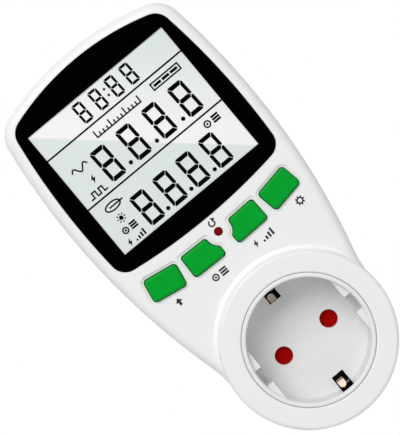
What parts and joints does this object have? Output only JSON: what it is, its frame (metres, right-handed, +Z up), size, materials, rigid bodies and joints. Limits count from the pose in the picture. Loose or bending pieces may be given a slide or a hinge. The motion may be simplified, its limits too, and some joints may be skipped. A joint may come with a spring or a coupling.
{
  "type": "plug-in energy meter",
  "caption": "Plug-in meter with a wall plug behind, a shuttered earthed socket in front, and a screen with push keys above it.",
  "frame": {"origin": "centre of the plug's end face, midway between the two plug pins", "axes": "+Y out of the plug face, along the pins; +Z up the meter, towards the screen; +X to the left seen from the wall side"},
  "size_m": [0.0756, 0.072, 0.1493],
  "materials": {
    "white_case": "satin moulded",
    "clear_lens": "polished clear",
    "black_print": "printed",
    "panel_glass": "polished",
    "panel_grey": "satin",
    "white_frame": "moulded",
    "black_rubber": "matte",
    "board_green": "lacquered",
    "screw_steel": "plated",
    "key_green": "satin",
    "button_red": "satin",
    "switch_black": "moulded",
    "plunger_tan": "moulded",
    "resin_black": "cast",
    "can_metal": "drawn",
    "white_cup": "moulded",
    "shutter_red": "moulded",
    "spring_steel": "drawn",
    "black_carrier": "moulded",
    "contact_brass": "pressed",
    "plated_pins": "nickel plated",
    "earth_metal": "nickel plated",
    "lead_brown": "smooth",
    "lead_blue": "smooth",
    "shunt_alloy": "bare",
    "film_yellow": "moulded",
    "varistor_blue": "dipped",
    "capacitor_sleeve": "shrunk sleeve",
    "resistor_grey": "lacquered",
    "cell_steel": "plated"
  },
  "bodies": {
    "housing": {"front_shell": "white_case", "rear_shell": "white_case", "lens_window": "clear_lens", "lens_mask": "black_print", "lcd_front_glass": "panel_glass", "lcd_rear_glass": "panel_glass", "lcd_reflector": "panel_grey", "lcd_frame": "white_frame", "zebra_connector": "black_rubber", "display_board": "board_green", "display_board_screws": "screw_steel", "switch_housings": "switch_black", "controller_chip": "resin_black", "clock_crystal": "can_metal", "socket_cup": "white_cup", "cup_screws": "screw_steel", "shutter_spring": "spring_steel", "contact_carrier": "black_carrier", "carrier_screws": "screw_steel", "live_contact": "contact_brass", "neutral_contact": "contact_brass", "live_pin": "plated_pins", "neutral_pin": "plated_pins", "live_pin_lug": "contact_brass", "neutral_strap": "contact_brass", "upper_earth_strip": "earth_metal", "lower_earth_strip": "earth_metal", "earth_bridge": "contact_brass", "earth_rivets": "contact_brass", "live_feed_lead": "lead_brown", "live_load_lead": "lead_brown", "neutral_lead": "lead_blue", "power_board": "board_green", "power_board_screws": "screw_steel", "shunt_resistor": "shunt_alloy", "dropper_capacitor": "film_yellow", "varistor": "varistor_blue", "smoothing_capacitor": "capacitor_sleeve", "metering_chip": "resin_black", "fuse_resistor": "resistor_grey", "rectifier_diodes": "resin_black", "link_pins": "contact_brass", "link_spacer": "switch_black", "backup_cells": "cell_steel", "battery_holder": "switch_black", "case_screws": "screw_steel"},
    "left_outer_button": {"left_outer_key": "key_green", "left_outer_plunger": "plunger_tan"},
    "left_inner_button": {"left_inner_key": "key_green", "left_inner_plunger": "plunger_tan"},
    "right_inner_button": {"right_inner_key": "key_green", "right_inner_plunger": "plunger_tan"},
    "right_outer_button": {"right_outer_key": "key_green", "right_outer_plunger": "plunger_tan"},
    "reset": {"reset_button": "button_red", "reset_plunger": "plunger_tan"},
    "shutter_plate": {"shutter": "shutter_red"}
  },
  "joints": [
    {"name": "left_outer_press", "type": "slide", "parent": "housing", "child": "left_outer_button", "axis": [0, 1, 0], "range_m": [0, 0.0005], "stiffness_N_per_m": 600, "springref_m": -0.001},
    {"name": "left_inner_press", "type": "slide", "parent": "housing", "child": "left_inner_button", "axis": [0, 1, 0], "range_m": [0, 0.0005], "stiffness_N_per_m": 600, "springref_m": -0.001},
    {"name": "right_inner_press", "type": "slide", "parent": "housing", "child": "right_inner_button", "axis": [0, 1, 0], "range_m": [0, 0.0005], "stiffness_N_per_m": 600, "springref_m": -0.001},
    {"name": "right_outer_press", "type": "slide", "parent": "housing", "child": "right_outer_button", "axis": [0, 1, 0], "range_m": [0, 0.0005], "stiffness_N_per_m": 600, "springref_m": -0.001},
    {"name": "reset_press", "type": "slide", "parent": "housing", "child": "reset", "axis": [0, 1, 0], "range_m": [0, 0.0004], "stiffness_N_per_m": 600, "springref_m": -0.001},
    {"name": "shutter_turn", "type": "hinge", "parent": "housing", "child": "shutter_plate", "pos_m": [0, -0.032, 0], "axis": [0, -1, 0], "range_deg": [0, 42], "stiffness_Nm_per_rad": 0.0005, "springref_deg": -22.92, "deforming": ["shutter_spring"]}
  ]
}
